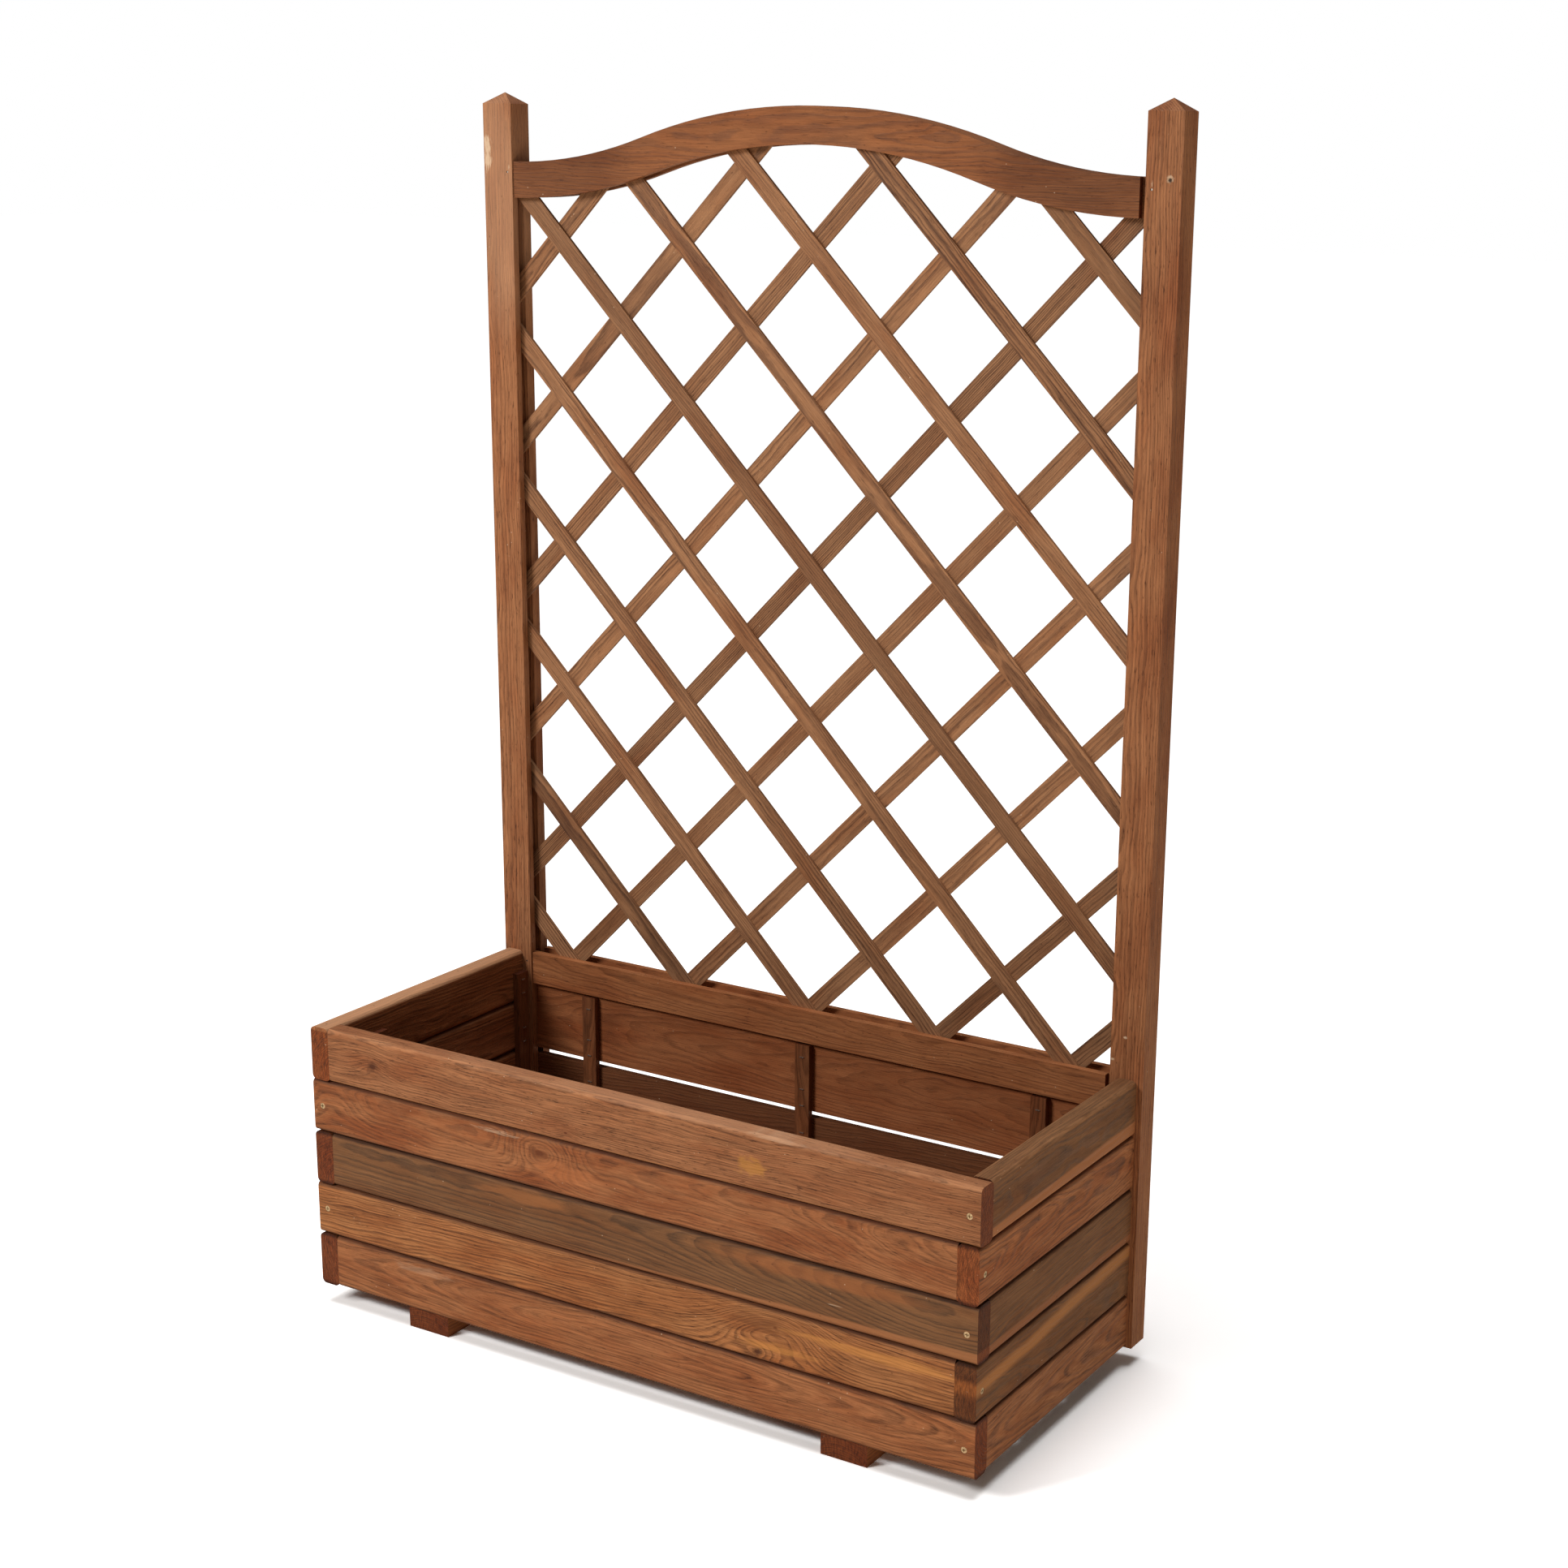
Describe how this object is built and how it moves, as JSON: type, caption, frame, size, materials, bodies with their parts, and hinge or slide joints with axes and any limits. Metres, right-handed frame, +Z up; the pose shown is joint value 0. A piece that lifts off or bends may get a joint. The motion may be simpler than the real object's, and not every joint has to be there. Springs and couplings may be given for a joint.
{
  "type": "planter box with trellis",
  "caption": "Rectangular wooden planter box on skids with two tall posts behind it that carry an arched rail over a diagonal lattice for climbing plants.",
  "frame": {"origin": "on the ground, midway between the two posts and midway between the box's front face and the rear face of the rails", "axes": "+X to the right as seen from the front, +Y from the front of the box to the trellis behind it, +Z up"},
  "size_m": [0.9, 0.393, 1.4],
  "materials": {
    "board_pine": "rough-sawn softwood with a brown stain, matt",
    "dark_board_pine": "rough-sawn softwood that took the brown stain darker, matt",
    "post_pine": "planed softwood with a brown stain, matt",
    "rail_pine": "planed softwood with a brown stain, matt",
    "slat_pine": "thin sawn softwood with a brown stain, matt",
    "inner_pine": "rough-sawn softwood with a brown stain, matt",
    "yellow_zinc_steel": "yellow zinc-plated",
    "bright_steel": "bright wire"
  },
  "bodies": {
    "root": {"post_left": "post_pine", "post_right": "post_pine", "top_rail": "rail_pine", "bottom_rail": "rail_pine", "slat_front_01": "slat_pine", "slat_front_02": "slat_pine", "slat_front_03": "slat_pine", "slat_front_04": "slat_pine", "slat_front_05": "slat_pine", "slat_front_06": "slat_pine", "slat_front_07": "slat_pine", "slat_front_08": "slat_pine", "slat_front_09": "slat_pine", "slat_front_10": "slat_pine", "slat_rear_01": "slat_pine", "slat_rear_02": "slat_pine", "slat_rear_03": "slat_pine", "slat_rear_04": "slat_pine", "slat_rear_05": "slat_pine", "slat_rear_06": "slat_pine", "slat_rear_07": "slat_pine", "slat_rear_08": "slat_pine", "slat_rear_09": "slat_pine", "slat_rear_10": "slat_pine", "board_front_1": "board_pine", "board_left_1": "board_pine", "board_right_1": "dark_board_pine", "board_front_2": "board_pine", "board_left_2": "board_pine", "board_right_2": "board_pine", "board_front_3": "dark_board_pine", "board_left_3": "board_pine", "board_right_3": "dark_board_pine", "board_front_4": "board_pine", "board_left_4": "board_pine", "board_right_4": "board_pine", "board_front_5": "board_pine", "board_left_5": "board_pine", "board_right_5": "board_pine", "back_board_1": "inner_pine", "floor_board_1": "inner_pine", "back_board_2": "inner_pine", "floor_board_2": "inner_pine", "back_board_3": "inner_pine", "floor_board_3": "inner_pine", "back_batten_left": "inner_pine", "back_batten_middle": "inner_pine", "back_batten_right": "inner_pine", "skid_left": "board_pine", "corner_batten_left_front": "inner_pine", "corner_batten_left_rear": "inner_pine", "skid_right": "board_pine", "corner_batten_right_front": "inner_pine", "corner_batten_right_rear": "inner_pine", "corner_screws": "yellow_zinc_steel", "frame_screws": "yellow_zinc_steel", "frame_pins": "bright_steel", "batten_staples": "bright_steel", "floor_nails": "bright_steel", "lattice_staples": "bright_steel"}
  },
  "joints": []
}
